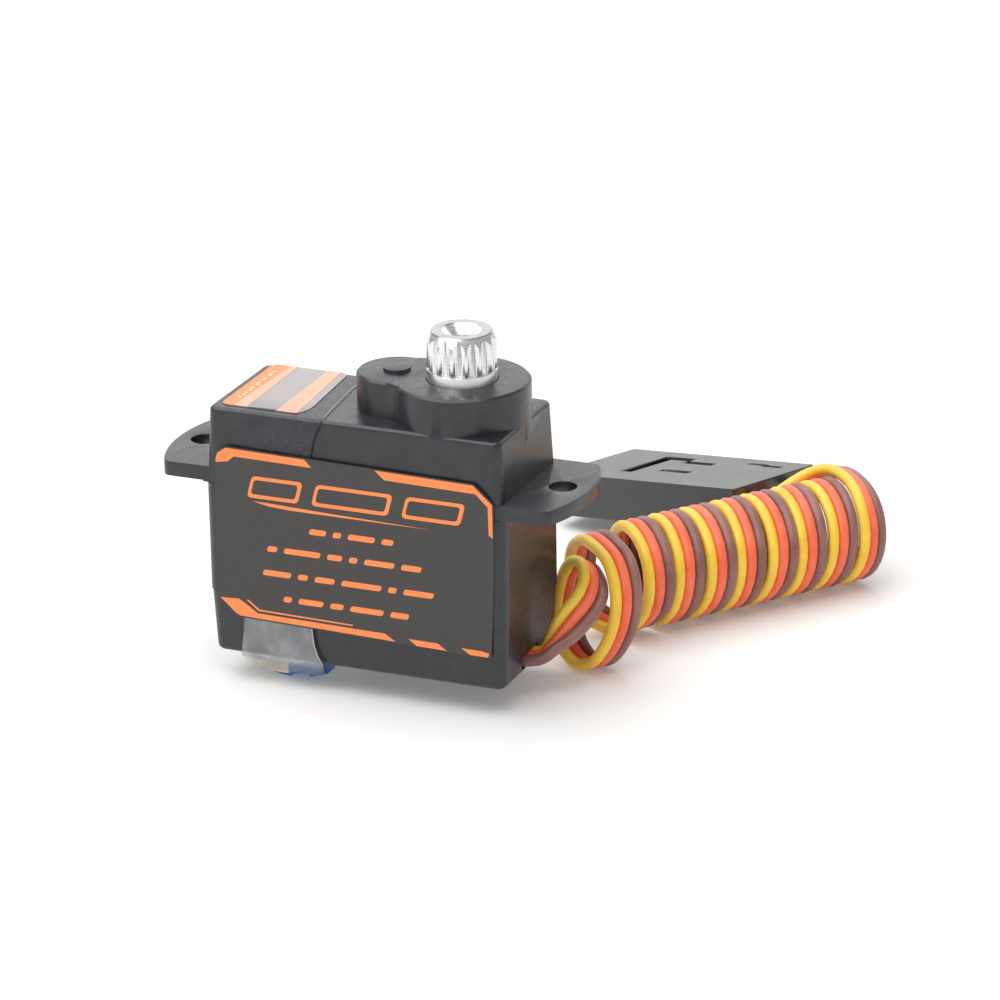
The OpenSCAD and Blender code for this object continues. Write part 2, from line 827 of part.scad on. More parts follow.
// wire from the board to the exit slot
module inner_wire(side) {
  y = exit_y - side * wire_d;
  translate([inner_wire_x, y, exit_z]) rotate([0, 90, 0])
    cylinder(r = wire_r, h = case_right - inner_wire_x, $fn = fine_fn);
  translate([inner_wire_x, y, exit_z]) sphere(r = wire_r, $fn = fine_fn);
  rod(inner_wire_x, y, wire_r, exit_z, board_bottom_z, fine_fn);
}

module inner_wire_signal() {
  color("#e5b93c") inner_wire(-1);
}

module inner_wire_power() {
  color("#ee5f46") inner_wire(0);
}

module inner_wire_ground() {
  color("#7b4f4a") inner_wire(1);
}

module label_outline() {
  polygon([
    [0.66, 7.0], [0.74, 3.38], [2.0, 2.38], [17.0, 2.02], [17.22, 2.1], [17.42, 6.0],
    [17.52, 11.1], [16.35, 12.15], [1.5, 12.45], [0.92, 12.1], [0.78, 11.55]
  ]);
}

module front_label() {
  color("#17181a")
  difference() {
    translate([case_left, label_y + label_thickness, case_bottom_z]) rotate([90, 0, 0])
      linear_extrude(label_thickness) label_outline();
    slab(tape_left, tape_left + tape_width, -case_half - tape_thickness, -case_half + over,
      case_bottom_z, 0);
  }
}

module top_label() {
  z = case_top_z;
  color("#f08a55")
  difference() {
    slab(case_left + top_label_inset, case_left + top_label_inset + top_label_length,
      top_label_front_y, top_label_back_y, z, z + top_label_thickness);
    slab(tape_left, tape_left + tape_width, -case_width, case_width, z - over, z + tape_thickness);
  }
}

module clear_tape() {
  outer = case_half + tape_thickness;
  color("#8c8e90")
  difference() {
    slab(tape_left, tape_left + tape_width, -outer, outer, case_bottom_z,
      case_top_z + tape_thickness);
    slab(tape_left - over, tape_left + tape_width + over, -case_half, case_half,
      case_bottom_z - over, case_top_z);
  }
}

// sweep of a round wire along a route
function unit(v) = v / norm(v);
function route_dir(p, i) = unit(p[min(i + 1, len(p) - 1)][0] - p[max(i - 1, 0)][0]);
function across(p, i) =
  let (t = route_dir(p, i), s = p[i][1])
  unit(s - (s * t) * t);
function wire_gap(p, i) = len(p[i]) > 2 ? p[i][2] : wire_d;
function ring_point(p, i, j, side) =
  let (
    t = route_dir(p, i),
    e = across(p, i),
    u = cross(t, e),
    a = 360 * (j + 0.5) / tube_sides
  )
  p[i][0] + side * wire_gap(p, i) * e + wire_r * (cos(a) * e + sin(a) * u);
module wire_tube(p, side) {
  n = len(p);
  m = tube_sides;
  points = [for (i = [0 : n - 1]) for (j = [0 : m - 1]) ring_point(p, i, j, side)];
  walls = [for (i = [0 : n - 2]) for (j = [0 : m - 1])
    [i * m + j, i * m + (j + 1) % m, (i + 1) * m + (j + 1) % m, (i + 1) * m + j]];
  start_cap = [for (j = [m - 1 : -1 : 0]) j];
  end_cap = [for (j = [0 : m - 1]) (n - 1) * m + j];
  polyhedron(points = points, faces = concat(walls, [start_cap, end_cap]), convexity = 6);
}

module lead_start_signal() {
  color("#e5b93c") wire_tube(lead_start, -1);
}

module lead_start_power() {
  color("#ee5f46") wire_tube(lead_start, 0);
}

module lead_start_ground() {
  color("#7b4f4a") wire_tube(lead_start, 1);
}

module lead_end_signal() {
  color("#e5b93c") wire_tube(lead_end, -1);
}

module lead_end_power() {
  color("#ee5f46") wire_tube(lead_end, 0);
}

module lead_end_ground() {
  color("#7b4f4a") wire_tube(lead_end, 1);
}

// the tight turns, as one closed sleeve
module lead_coil() {
  length = coil_length + 2 * coil_end_margin;
  color("#ee5f46")
  translate(coil_start) rotate([0, 90, coil_angle]) translate([0, 0, -coil_end_margin])
    difference() {
      cylinder(r = coil_r + wire_r, h = length);
      translate([0, 0, -over]) cylinder(r = coil_r - wire_r, h = length + 2 * over);
    }
}

module plug_place() {
  translate(plug_pos) rotate(plug_turn) children();
}

module plug_housing() {
  half_w = plug_width / 2;
  half_h = plug_height / 2;
  color("#26272a")
  plug_place()
    difference() {
      slab(-plug_length, 0, -half_w, half_w, -half_h, half_h);
      for (k = [-1, 0, 1]) {
        y = k * plug_pitch;
        slab(-plug_length - over, cavity_end_x, y - cavity_half_width, y + cavity_half_width,
          -cavity_half_height, cavity_half_height);
        slab(cavity_end_x - wire_hole_half_width, over, y - wire_hole_half_width,
          y + wire_hole_half_width, -wire_hole_half_height, wire_hole_half_height);
      }
      for (slot = plug_slots)
        slab(slot[0], slot[1], slot[2], slot[3], half_h - slot_depth, half_h + over);
    }
}

module plug_contacts() {
  color("#c9a85a")
  plug_place()
    for (k = [-1, 0, 1])
      difference() {
        y = k * plug_pitch;
        slab(contact_left, cavity_end_x, y - contact_half_width, y + contact_half_width,
          contact_bottom, contact_top);
        slab(contact_mouth_left, contact_mouth_right, y - contact_mouth_half_width,
          y + contact_mouth_half_width, contact_mouth_bottom, contact_mouth_top);
      }
}

upper_case();
middle_case();
bottom_cover();
output_gear();
output_pin();
fourth_gear();
third_gear();
second_gear();
first_gear();
motor_pinion();
first_axle();
second_axle();
motor_can();
motor_magnets();
motor_armature();
motor_shaft();
motor_bushing();
motor_brushes();
motor_end_bell();
motor_end_cap();
pot_body();
pot_track();
pot_wiper();
pot_terminals();
circuit_board();
control_chip();
driver_chips();
capacitors();
motor_terminals();
inner_wire_signal();
inner_wire_power();
inner_wire_ground();
front_label();
top_label();
clear_tape();
lead_start_signal();
lead_start_power();
lead_start_ground();
lead_coil();
lead_end_signal();
lead_end_power();
lead_end_ground();
plug_housing();
plug_contacts();
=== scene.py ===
import math

import bmesh
import bpy
from mathutils import Matrix, Vector


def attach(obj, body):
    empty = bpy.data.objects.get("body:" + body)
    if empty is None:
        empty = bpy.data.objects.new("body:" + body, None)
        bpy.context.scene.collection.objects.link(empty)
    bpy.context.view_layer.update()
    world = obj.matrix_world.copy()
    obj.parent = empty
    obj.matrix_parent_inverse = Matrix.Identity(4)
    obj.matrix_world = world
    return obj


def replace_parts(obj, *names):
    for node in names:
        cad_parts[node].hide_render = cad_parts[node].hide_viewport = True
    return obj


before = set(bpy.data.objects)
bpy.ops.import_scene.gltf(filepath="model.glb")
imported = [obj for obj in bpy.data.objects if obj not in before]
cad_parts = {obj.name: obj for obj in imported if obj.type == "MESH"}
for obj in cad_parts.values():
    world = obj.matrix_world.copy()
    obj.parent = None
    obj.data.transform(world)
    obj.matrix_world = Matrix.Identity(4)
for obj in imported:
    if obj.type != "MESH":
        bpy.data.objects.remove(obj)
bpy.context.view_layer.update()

MM = 0.001
CASE_LEFT = -14.0
CASE_BOTTOM = -16.6
FLOOR_Z = -18.2

scene = bpy.context.scene
scene.view_settings.view_transform = "Standard"

# ---------------------------------------------------------------- camera
RIGHT = Vector((0.9227, 0.3852, -0.0161))
UP = Vector((-0.1242, 0.3364, 0.9335))
BACK = Vector((0.365, -0.8593, 0.3582))
camera_data = bpy.data.cameras.new("camera")
camera_data.lens = 180
camera_data.sensor_width = 36
camera_data.clip_start = 0.01
camera_data.clip_end = 20
camera = bpy.data.objects.new("camera", camera_data)
scene.collection.objects.link(camera)
rotation = Matrix((RIGHT, UP, BACK)).transposed().to_4x4()
camera.matrix_world = Matrix.Translation(Vector((102.48, -236.29, 91.61)) * MM) @ rotation
scene.camera = camera

# ---------------------------------------------------------------- lead
WIRE_D = 0.67
WIRE_BEVEL_STEPS = 5
COIL_TURN = 2.055
COIL_R = 2.87
COIL_ANGLE = math.radians(51.5)
COIL_TURNS = 7.5
COIL_STEPS = 28
COIL_FIRST_STEP = 5
SMOOTH_STEPS = 5
COIL_WAVES = 9.1  # the turns wander a little along the axis
COIL_WANDER = 0.05
LAST_TIP = math.radians(25)
LAST_TIP_FROM = 7.05
LAST_TIP_OVER = 0.4
COIL_START = Vector((5.33, 10.58, -14.95))
COIL_AXIS = Vector((math.cos(COIL_ANGLE), math.sin(COIL_ANGLE), 0))
COIL_SIDE = Vector((math.sin(COIL_ANGLE), -math.cos(COIL_ANGLE), 0))

# Middle wire from the case to the coil: its points, and the way the outer wires lie beside it.
LEAD_START = [
    ((3.7, -0.1, -15.9), (0, -1, 0)),
    ((4.0, -0.1, -15.9), (0, -1, 0)),
    ((4.6, 0.0, -15.7), (0.1, -1, -0.1)),
    ((5.1, 0.3, -15.1), (0.35, -0.85, -0.25)),
    ((5.6, 0.8, -14.4), (0.6, -0.5, -0.5)),
    ((6.0, 1.4, -13.8), (0.72, -0.2, -0.62)),
    ((6.3, 2.0, -13.3), (0.76, 0, -0.65)),
    ((6.4, 2.7, -12.8), (0.75, 0.2, -0.65)),
    ((6.2, 3.4, -12.3), (0.6, 0.45, -0.65)),
    ((5.7, 4.1, -12.0), (0.35, 0.7, -0.6)),
    ((5.0, 4.7, -12.1), (0.2, 0.8, -0.55)),
    ((4.3, 5.2, -12.8), (0.35, 0.85, -0.3)),
    ((3.9, 5.5, -13.9), (0.6, 0.8, 0)),
    ((3.7, 5.6, -15.2), (0.6, 0.8, 0)),
    ((3.8, 5.4, -16.4), (0.6, 0.8, 0)),
    ((4.4, 5.0, -17.4), (0.6, 0.8, -0.05)),
    ((5.3, 4.5, -17.8), (0.6, 0.8, -0.05)),
    ((6.3, 4.1, -17.5), (0.6, 0.8, -0.05)),
    ((7.1, 3.8, -16.6), (0.6, 0.8, 0)),
    ((7.8, 3.6, -15.2), (0.6, 0.8, 0)),
    ((8.1, 3.6, -13.7), (0.6, 0.8, 0)),
    ((7.9, 3.9, -12.4), (0.6, 0.8, 0)),
    ((7.2, 4.6, -11.4), (0.6, 0.8, 0)),
    ((6.1, 5.5, -11.0), (0.6, 0.8, 0)),
    ((5.0, 6.5, -11.1), (0.6, 0.8, 0)),
    ((4.0, 7.5, -12.0), (0.6, 0.8, 0)),
    ((3.4, 8.4, -13.6), (0.6, 0.8, 0)),
    ((3.2, 9.0, -15.2), (0.6, 0.8, 0)),
    ((3.4, 9.3, -16.4), (0.4, 0.9, 0)),
    ((4.2, 9.6, -17.3), (0.3, 0.95, 0)),
    ((5.4, 9.8, -17.7), (0.5, 0.85, 0)),
    ((6.7, 9.5, -17.2), (0.6, 0.8, 0)),
]
# The plug's wire end, with the middle hole's place, the way out and the way along the row of holes.
PLUG_FACE = Vector((9.79, 23.67, -14.28))
PLUG_OUT = Vector((0.9393, -0.3052, 0.1564))
PLUG_ACROSS = Vector((0.3208, 0.9432, -0.0861))
PLUG_PITCH = 2.54
PLUG_DEPTH = 1.4
PLUG_STEPS = 14
LEAVE_PULL = 4.0  # how far the wire keeps its direction as it leaves the coil and as it enters the plug
ENTER_PULL = 1.5


def smooth_path(points, steps=SMOOTH_STEPS):
    """Catmull-Rom points through the given ones."""
    ends = [2 * points[0] - points[1]] + points + [2 * points[-1] - points[-2]]
    out = []
    for i in range(1, len(ends) - 2):
        a, b, c, d = ends[i - 1:i + 3]
        for k in range(steps):
            t = k / steps
            out.append(0.5 * (2 * b + (c - a) * t + (2 * a - 5 * b + 4 * c - d) * t * t
                              + (3 * b - a - 3 * c + d) * t ** 3))
    return out + [points[-1]]


def coil_points(side):
    """Turns of one wire; the ribbon tips over a little in the last half turn."""
    out = []
    for i in range(COIL_FIRST_STEP, int(COIL_TURNS * COIL_STEPS) + 1):
        turn = i / COIL_STEPS
        angle = 2 * math.pi * turn
        tip = LAST_TIP * min(1, max(0, (turn - LAST_TIP_FROM) / LAST_TIP_OVER))
        wave = COIL_WANDER * math.sin(COIL_WAVES * turn)
        radius = COIL_R - side * WIRE_D * math.sin(tip)
        along = COIL_TURN * turn + side * WIRE_D * math.cos(tip) + wave
        out.append(COIL_START + COIL_AXIS * along
                   + radius * (math.sin(angle) * COIL_SIDE - math.cos(angle) * Vector((0, 0, 1))))
    return out


def shifted(route, side):
    """The route moved sideways by whole wires, square to its own direction."""
    centres = [Vector(p) for p, s in route]
    out = []
    for i, (p, s) in enumerate(route):
        ahead = (centres[min(i + 1, len(route) - 1)] - centres[max(i - 1, 0)]).normalized()
        across = Vector(s) - Vector(s).dot(ahead) * ahead
        out.append(centres[i] + side * WIRE_D * across.normalized())
    return out


def plug_run(leave, ahead, side):
    """Smooth run from the end of the coil into the wire's own hole in the plug."""
    face = PLUG_FACE + side * PLUG_PITCH * PLUG_ACROSS
    a, b, c, d = leave, leave + LEAVE_PULL * ahead, face + ENTER_PULL * PLUG_OUT, face
    out = []
    for k in range(1, PLUG_STEPS + 1):
        t = k / PLUG_STEPS
        out.append(a * (1 - t) ** 3 + 3 * b * t * (1 - t) ** 2
                   + 3 * c * t * t * (1 - t) + d * t ** 3)
    return out + [face - PLUG_DEPTH * PLUG_OUT]


def lead_path(side):
    """Centre line of one of the three wires, in millimetres; side is -1, 0 or 1."""
    start, coil = shifted(LEAD_START, side), coil_points(side)
    overlap = 2 * SMOOTH_STEPS + 1
    ahead = (coil[-1] - coil[-2]).normalized()
    return smooth_path(start + coil[:3])[:-overlap] + coil + plug_run(coil[-1], ahead, side)


def make_wire(name, points):
    """A round wire along the points. Its radius is on the points, because a curve's box grows by that."""
    curve = bpy.data.curves.new(name, "CURVE")
    curve.dimensions = "3D"
    curve.bevel_depth = 1
    curve.bevel_resolution = WIRE_BEVEL_STEPS
    curve.use_fill_caps = True
    spline = curve.splines.new("POLY")
    spline.points.add(len(points) - 1)
    for point, at in zip(spline.points, points):
        point.co = (*(at * MM), 1)
        point.radius = WIRE_D / 2 * MM
    spline.use_smooth = True
    wire = bpy.data.objects.new(name, curve)
    scene.collection.objects.link(wire)
    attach(wire, "case")
    return wire


wires = {}
for label, side in (("signal", -1), ("power", 0), ("ground", 1)):
    points = lead_path(side)
    wire = make_wire("lead_" + label, points)
    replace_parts(wire, "lead_start_" + label, "lead_end_" + label)
    if side == 0:
        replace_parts(wire, "lead_coil")
    wires[label] = wire


# ---------------------------------------------------------------- materials
TONE_STOPS = ((0.35, 0), (0.65, 1))
M_TO_MM = 1000


class Paint:
    """A procedural material; lengths in its textures are in millimetres."""

    def __init__(self, name, **values):
        self.material = bpy.data.materials.new(name)
        self.material.use_nodes = True
        self.tree = self.material.node_tree
        self.shader = self.tree.nodes["Principled BSDF"]
        for key, value in values.items():
            self.shader.inputs[key.replace("_", " ")].default_value = value
        coords = self.tree.nodes.new("ShaderNodeTexCoord")
        scale = self.tree.nodes.new("ShaderNodeMapping")
        scale.inputs["Scale"].default_value = (M_TO_MM, M_TO_MM, M_TO_MM)
        self.link(coords.outputs["Object"], scale.inputs["Vector"])
        self.place = scale.outputs["Vector"]
        self.height = None

    def link(self, a, b):
        self.tree.links.new(a, b)

    def stretched(self, x, y, z):
        node = self.tree.nodes.new("ShaderNodeMapping")
        node.inputs["Scale"].default_value = (x, y, z)
        self.link(self.place, node.inputs["Vector"])
        return node.outputs["Vector"]

    def noise(self, per_mm, detail=3, rough=0.55, place=None):
        node = self.tree.nodes.new("ShaderNodeTexNoise")
        node.inputs["Scale"].default_value = per_mm
        node.inputs["Detail"].default_value = detail
        node.inputs["Roughness"].default_value = rough
        self.link(place or self.place, node.inputs["Vector"])
        return node.outputs["Fac"]

    def axis(self, name):
        node = self.tree.nodes.new("ShaderNodeSeparateXYZ")
        self.link(self.place, node.inputs["Vector"])
        return node.outputs[name]

    def along(self, direction):
        """Distance from the origin along a direction."""
        node = self.tree.nodes.new("ShaderNodeVectorMath")
        node.operation = "DOT_PRODUCT"
        node.inputs[1].default_value = direction
        self.link(self.place, node.inputs[0])
        return node.outputs["Value"]

    def ramp(self, value, stops):
        node = self.tree.nodes.new("ShaderNodeValToRGB")
        elements = node.color_ramp.elements
        while len(elements) < len(stops):
            elements.new(0.5)
        for element, (at, level) in zip(elements, stops):
            element.position = at
            element.color = (level, level, level, 1) if isinstance(level, (int, float)) else (*level, 1)
        self.link(value, node.inputs["Fac"])
        return node.outputs["Color"]

    def mix(self, factor, a, b):
        node = self.tree.nodes.new("ShaderNodeMix")
        node.data_type = "RGBA"
        self.link(factor, node.inputs["Factor"])
        for value, name in ((a, "A"), (b, "B")):
            socket = [s for s in node.inputs if s.name == name and s.type == "RGBA"][0]
            if isinstance(value, tuple):
                socket.default_value = (*value, 1)
            else:
                self.link(value, socket)
        return [s for s in node.outputs if s.type == "RGBA"][0]

    def remap(self, value, low, high, from_low=0.3, from_high=0.7):
        node = self.tree.nodes.new("ShaderNodeMapRange")
        node.inputs["From Min"].default_value = from_low
        node.inputs["From Max"].default_value = from_high
        node.inputs["To Min"].default_value = low
        node.inputs["To Max"].default_value = high
        self.link(value, node.inputs["Value"])
        return node.outputs["Result"]

    def times(self, a, b):
        node = self.tree.nodes.new("ShaderNodeMath")
        node.operation = "MULTIPLY"
        self.link(a, node.inputs[0])
        self.link(b, node.inputs[1])
        return node.outputs["Value"]

    def color(self, value):
        self.link(value, self.shader.inputs["Base Color"])

    def rough(self, value):
        self.link(value, self.shader.inputs["Roughness"])

    def bump(self, value, strength, depth_mm):
        node = self.tree.nodes.new("ShaderNodeBump")
        node.inputs["Strength"].default_value = strength
        node.inputs["Distance"].default_value = depth_mm * MM
        self.link(value, node.inputs["Height"])
        if self.height is not None:
            self.link(self.height, node.inputs["Normal"])
        self.height = node.outputs["Normal"]
        self.link(self.height, self.shader.inputs["Normal"])


def plastic(name, dark, light, rough=(0.42, 0.58), grain=0.012):
    """Moulded plastic: cloudy tone, uneven gloss and a fine grain."""
    paint = Paint(name)
    paint.color(paint.mix(paint.ramp(paint.noise(0.8), TONE_STOPS), dark, light))
    paint.rough(paint.remap(paint.noise(2.5, 5), *rough))
    paint.bump(paint.noise(14, 4, 0.6), 0.35, grain)
    return paint.material


def metal(name, dark, light, rough=(0.2, 0.34), lines=(1, 1, 24), depth=0.006):
    """Metal with fine tool lines round the axis."""
    paint = Paint(name, Metallic=1.0)
    streaks = paint.noise(1.2, 4, 0.6, paint.stretched(*lines))
    paint.color(paint.mix(paint.ramp(streaks, TONE_STOPS), dark, light))
    paint.rough(paint.remap(streaks, *rough))
    paint.bump(streaks, 0.3, depth)
    return paint.material


BLACK = plastic("black_case", (0.019, 0.0205, 0.0245), (0.027, 0.029, 0.034),
                rough=(0.25, 0.36), grain=0.002)
PLUG_UP = (-0.1212, 0.131, 0.9839)
PLUG_TOP = (-10.88, -10.84)  # the plug's top face, along PLUG_UP
SPLINE_END = (2.7, 2.79)  # heights between which the spline's wall turns into its end


def plug_plastic():
    """Black plastic with a paler top face, a painted sheen where the top catches the light."""
    paint = Paint("plug_black", IOR=1.75)
    tone = paint.ramp(paint.noise(0.8), TONE_STOPS)
    black = paint.mix(tone, (0.005, 0.005, 0.0055), (0.008, 0.008, 0.0085))
    pale = paint.mix(tone, (0.1, 0.1, 0.1), (0.13, 0.13, 0.13))
    # Painted sheen: the top face gets a paler colour for the light it reflects.
    paint.color(paint.mix(paint.remap(paint.along(PLUG_UP), 0, 1, *PLUG_TOP), black, pale))
    paint.rough(paint.remap(paint.noise(2.5, 5), 0.2, 0.26))
    paint.bump(paint.noise(14, 4, 0.6), 0.35, 0.0015)
    return paint.material


PLUG = plug_plastic()


def turned_metal():
    """Metal with fine tool lines round the axis: a painted highlight makes the wall bright and a painted
    shade makes the end dull.
    """
    paint = Paint("turned_metal", Metallic=1.0)
    streaks = paint.noise(1.2, 4, 0.6, paint.stretched(1, 1, 24))
    tone = paint.ramp(streaks, TONE_STOPS)
    wall = paint.mix(tone, (0.68, 0.69, 0.7), (0.88, 0.88, 0.88))
    end = paint.mix(tone, (0.36, 0.37, 0.38), (0.46, 0.46, 0.47))
    # Painted light and shade: bright wall and darker end, blended between the SPLINE_END heights.
    paint.color(paint.mix(paint.remap(paint.axis("Z"), 0, 1, *SPLINE_END), wall, end))
    paint.rough(paint.remap(streaks, 0.18, 0.3))
    paint.bump(streaks, 0.3, 0.006)
    return paint.material


SPLINE = turned_metal()
STEEL = metal("steel", (0.45, 0.46, 0.48), (0.68, 0.69, 0.7))
BRASS = metal("brass", (0.5, 0.33, 0.1), (0.78, 0.56, 0.24))
COPPER = metal("copper", (0.4, 0.16, 0.06), (0.7, 0.32, 0.15), lines=(1, 1, 10))
NYLON = plastic("nylon", (0.72, 0.69, 0.6), (0.82, 0.8, 0.72), grain=0.004)
CREAM = plastic("cream", (0.66, 0.6, 0.46), (0.8, 0.75, 0.62), grain=0.01)
BLUE = plastic("blue", (0.04, 0.17, 0.46), (0.07, 0.24, 0.56), rough=(0.2, 0.3), grain=0.004)
MAGNET = plastic("magnet", (0.05, 0.05, 0.052), (0.09, 0.09, 0.092))
RESIN = plastic("resin", (0.18, 0.12, 0.06), (0.26, 0.18, 0.1))
BOARD = plastic("board", (0.01, 0.09, 0.035), (0.015, 0.14, 0.05), rough=(0.25, 0.4))
CHIP = plastic("chip", (0.012, 0.012, 0.013), (0.02, 0.02, 0.022))
CERAMIC = plastic("capacitor", (0.35, 0.22, 0.12), (0.45, 0.3, 0.17))


def sleeve(name, dark, light):
    """Soft wire insulation."""
    paint = Paint(name, Coat_Weight=0.12, Coat_Roughness=0.3)
    tone = paint.ramp(paint.noise(0.55, 3), TONE_STOPS)
    paint.color(paint.mix(tone, dark, light))
    paint.rough(paint.remap(paint.noise(4, 4), 0.36, 0.52))
    paint.bump(paint.noise(9, 3), 0.3, 0.01)
    return paint.material


YELLOW = sleeve("sleeve_yellow", (0.9, 0.54, 0.035), (0.98, 0.66, 0.06))
ORANGE = sleeve("sleeve_orange", (0.9, 0.13, 0.05), (0.98, 0.19, 0.09))
BROWN = sleeve("sleeve_brown", (0.22, 0.09, 0.075), (0.31, 0.14, 0.12))


def printed(name, ink, ground, dots=5.0, size=0.25):
    """Printed film: a fine screen of dots in the ink."""
    paint = Paint(name, Coat_Weight=0.25, Coat_Roughness=0.25)
    node = paint.tree.nodes.new("ShaderNodeTexVoronoi")
    node.inputs["Scale"].default_value = dots
    node.inputs["Randomness"].default_value = 0.25
    paint.link(paint.place, node.inputs["Vector"])
    screen = paint.ramp(node.outputs["Distance"], ((size, 0), (size + 0.15, 1)))
    paint.color(paint.mix(screen, ground, ink))
    paint.rough(paint.remap(paint.noise(3, 4), 0.38, 0.5))
    paint.bump(paint.noise(6, 3), 0.2, 0.006)
    return paint.material


TOP_FILM = printed("top_film", (0.38, 0.35, 0.345), (0.46, 0.42, 0.41), 7.0, 0.2)
FILM = printed("label_film", (0.032, 0.029, 0.027), (0.042, 0.038, 0.035), 7.0, 0.2)
INK = printed("orange_ink", (0.96, 0.25, 0.055), (0.99, 0.31, 0.09))
TOP_INK = printed("top_ink", (0.95, 0.24, 0.045), (0.99, 0.28, 0.06), 7.0)
PALE_INK = printed("pale_ink", (0.93, 0.42, 0.26), (0.97, 0.5, 0.34), 7.0)
SPECK_INK = printed("speck_ink", (0.95, 0.7, 0.5), (0.98, 0.8, 0.62), 7.0)


TAPE_HAZE_Z = (CASE_BOTTOM + 2.2, CASE_BOTTOM + 4.0)  # hazy below, nearly clear above
TAPE_FLAP_Z = (CASE_BOTTOM - 0.25, CASE_BOTTOM)  # clearer again under the case
TAPE_BACK_Y = (-2.5, -1.5)  # nearly clear behind the front


def tape_film():
    """Clear film, hazier below the label where it stands off the case."""
    paint = Paint("tape_film", Roughness=0.16, IOR=1.5)
    tone = paint.ramp(paint.noise(0.9, 4), TONE_STOPS)
    height = paint.axis("Z")
    cloudy = paint.mix(tone, (0.34, 0.35, 0.37), (0.5, 0.51, 0.53))
    paint.color(paint.mix(paint.remap(height, 0, 1, *TAPE_HAZE_Z), cloudy, (0.1, 0.105, 0.14)))
    haze = paint.remap(height, 0.42, 0.06, *TAPE_HAZE_Z)
    streak = paint.remap(paint.noise(0.7, 4), 0.8, 1.2)
    flap = paint.remap(height, 0.35, 1, *TAPE_FLAP_Z)
    behind = paint.remap(paint.axis("Y"), 1, 0.15, *TAPE_BACK_Y)
    alpha = paint.times(paint.times(haze, streak), paint.times(flap, behind))
    paint.link(alpha, paint.shader.inputs["Alpha"])
    paint.bump(paint.noise(1.3, 3), 0.3, 0.02)
    return paint.material


TAPE = tape_film()
# Painted edge lines on the tape: a painted highlight (glint), and a painted shade line for the front.
EDGE_GLINT = plastic("tape_edge", (0.3, 0.3, 0.29), (0.48, 0.48, 0.46), rough=(0.2, 0.3))
EDGE_SHADE = plastic("tape_edge_shade", (0.008, 0.008, 0.009), (0.014, 0.014, 0.015))

NODE_PAINT = {
    BLACK: ["upper_case", "middle_case", "bottom_cover"],
    PLUG: ["plug_housing"],
    SPLINE: ["output_gear"],
    STEEL: ["output_pin", "first_axle", "second_axle", "motor_can", "motor_shaft"],
    BRASS: ["motor_pinion", "motor_bushing", "pot_wiper", "pot_terminals", "motor_terminals",
            "plug_contacts"],
    COPPER: ["motor_armature", "motor_brushes"],
    NYLON: ["fourth_gear", "third_gear", "second_gear", "first_gear"],
    MAGNET: ["motor_magnets"],
    CREAM: ["motor_end_bell"],
    BLUE: ["motor_end_cap"],
    RESIN: ["pot_body", "pot_track"],
    BOARD: ["circuit_board"],
    CHIP: ["control_chip", "driver_chips"],
    CERAMIC: ["capacitors"],
    YELLOW: ["inner_wire_signal"],
    ORANGE: ["inner_wire_power"],
    BROWN: ["inner_wire_ground"],
}


def paint_object(obj, material):
    obj.data.materials.clear()
    obj.data.materials.append(material)


for material, names in NODE_PAINT.items():
    for name in names:
        paint_object(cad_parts[name], material)
for label, material in (("signal", YELLOW), ("power", ORANGE), ("ground", BROWN)):
    paint_object(wires[label], material)


WELD_M = 1e-6
BEVEL_SEGMENTS = 3
SHARP_ANGLE = math.radians(32)
NORMAL_WEIGHT = 80


def soften(name, width_mm):
    """Rounds the sharp edges of a CAD node with modifiers only."""
    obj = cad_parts[name]
    weld = obj.modifiers.new("weld", "WELD")
    weld.merge_threshold = WELD_M
    bevel = obj.modifiers.new("bevel", "BEVEL")
    bevel.width = width_mm * MM
    bevel.segments = BEVEL_SEGMENTS
    bevel.limit_method = "ANGLE"
    bevel.angle_limit = SHARP_ANGLE
    smooth = obj.modifiers.new("even_normals", "WEIGHTED_NORMAL")
    smooth.weight = NORMAL_WEIGHT
    for polygon in obj.data.polygons:
        polygon.use_smooth = True


for name, width in (("upper_case", 0.07), ("middle_case", 0.05), ("bottom_cover", 0.05),
                    ("output_gear", 0.035), ("motor_end_bell", 0.15), ("motor_end_cap", 0.1),
                    ("plug_housing", 0.09)):
    soften(name, width)


# ---------------------------------------------------------------- labels and tape
def place(u, w, y):
    """A point from millimetres along the front and above the case's underside."""
    return Vector((CASE_LEFT + u, y, CASE_BOTTOM + w))


def mesh_object(name, vertices, faces, material):
    """A new piece on the case, from points in millimetres."""
    mesh = bpy.data.meshes.new(name)
    mesh.from_pydata([v * MM for v in vertices], [], faces)
    mesh.update()
    obj = bpy.data.objects.new(name, mesh)
    scene.collection.objects.link(obj)
    paint_object(obj, material)
    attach(obj, "case")
    return obj


def solid(name, vertices, faces, material):
    """A closed piece with its faces turned outwards."""
    obj = mesh_object(name, vertices, faces, material)
    bm = bmesh.new()
    bm.from_mesh(obj.data)
    bmesh.ops.recalc_face_normals(bm, faces=bm.faces)
    bm.to_mesh(obj.data)
    bm.free()
    return obj


def plates(name, outlines, front, back, material, slot, to_point):
    """Flat plates with the given outlines, between two depths."""
    vertices, faces = [], []
    for outline in outlines:
        n, base = len(outline), len(vertices)
        for depth in (front, back):
            vertices += [to_point(a, b, depth) for a, b in outline]
        faces.append([base + i for i in range(n)])
        faces.append([base + n + i for i in reversed(range(n))])
        faces += [[base + i, base + n + i, base + n + (i + 1) % n, base + (i + 1) % n]
                  for i in range(n)]
    return solid(name, vertices, faces, material)


def rounded(outline, radius, steps=5):
    """The outline with its corners rounded by short curves."""
    out, n = [], len(outline)
    for i, point in enumerate(outline):
        p, a, b = Vector(point), Vector(outline[i - 1]), Vector(outline[(i + 1) % n])
        r = min(radius, (a - p).length / 2.2, (b - p).length / 2.2)
        q0, q1 = p + (a - p).normalized() * r, p + (b - p).normalized() * r
        for k in range(steps + 1):
            t = k / steps
            out.append(tuple((1 - t) ** 2 * q0 + 2 * t * (1 - t) * p + t * t * q1))
    return out


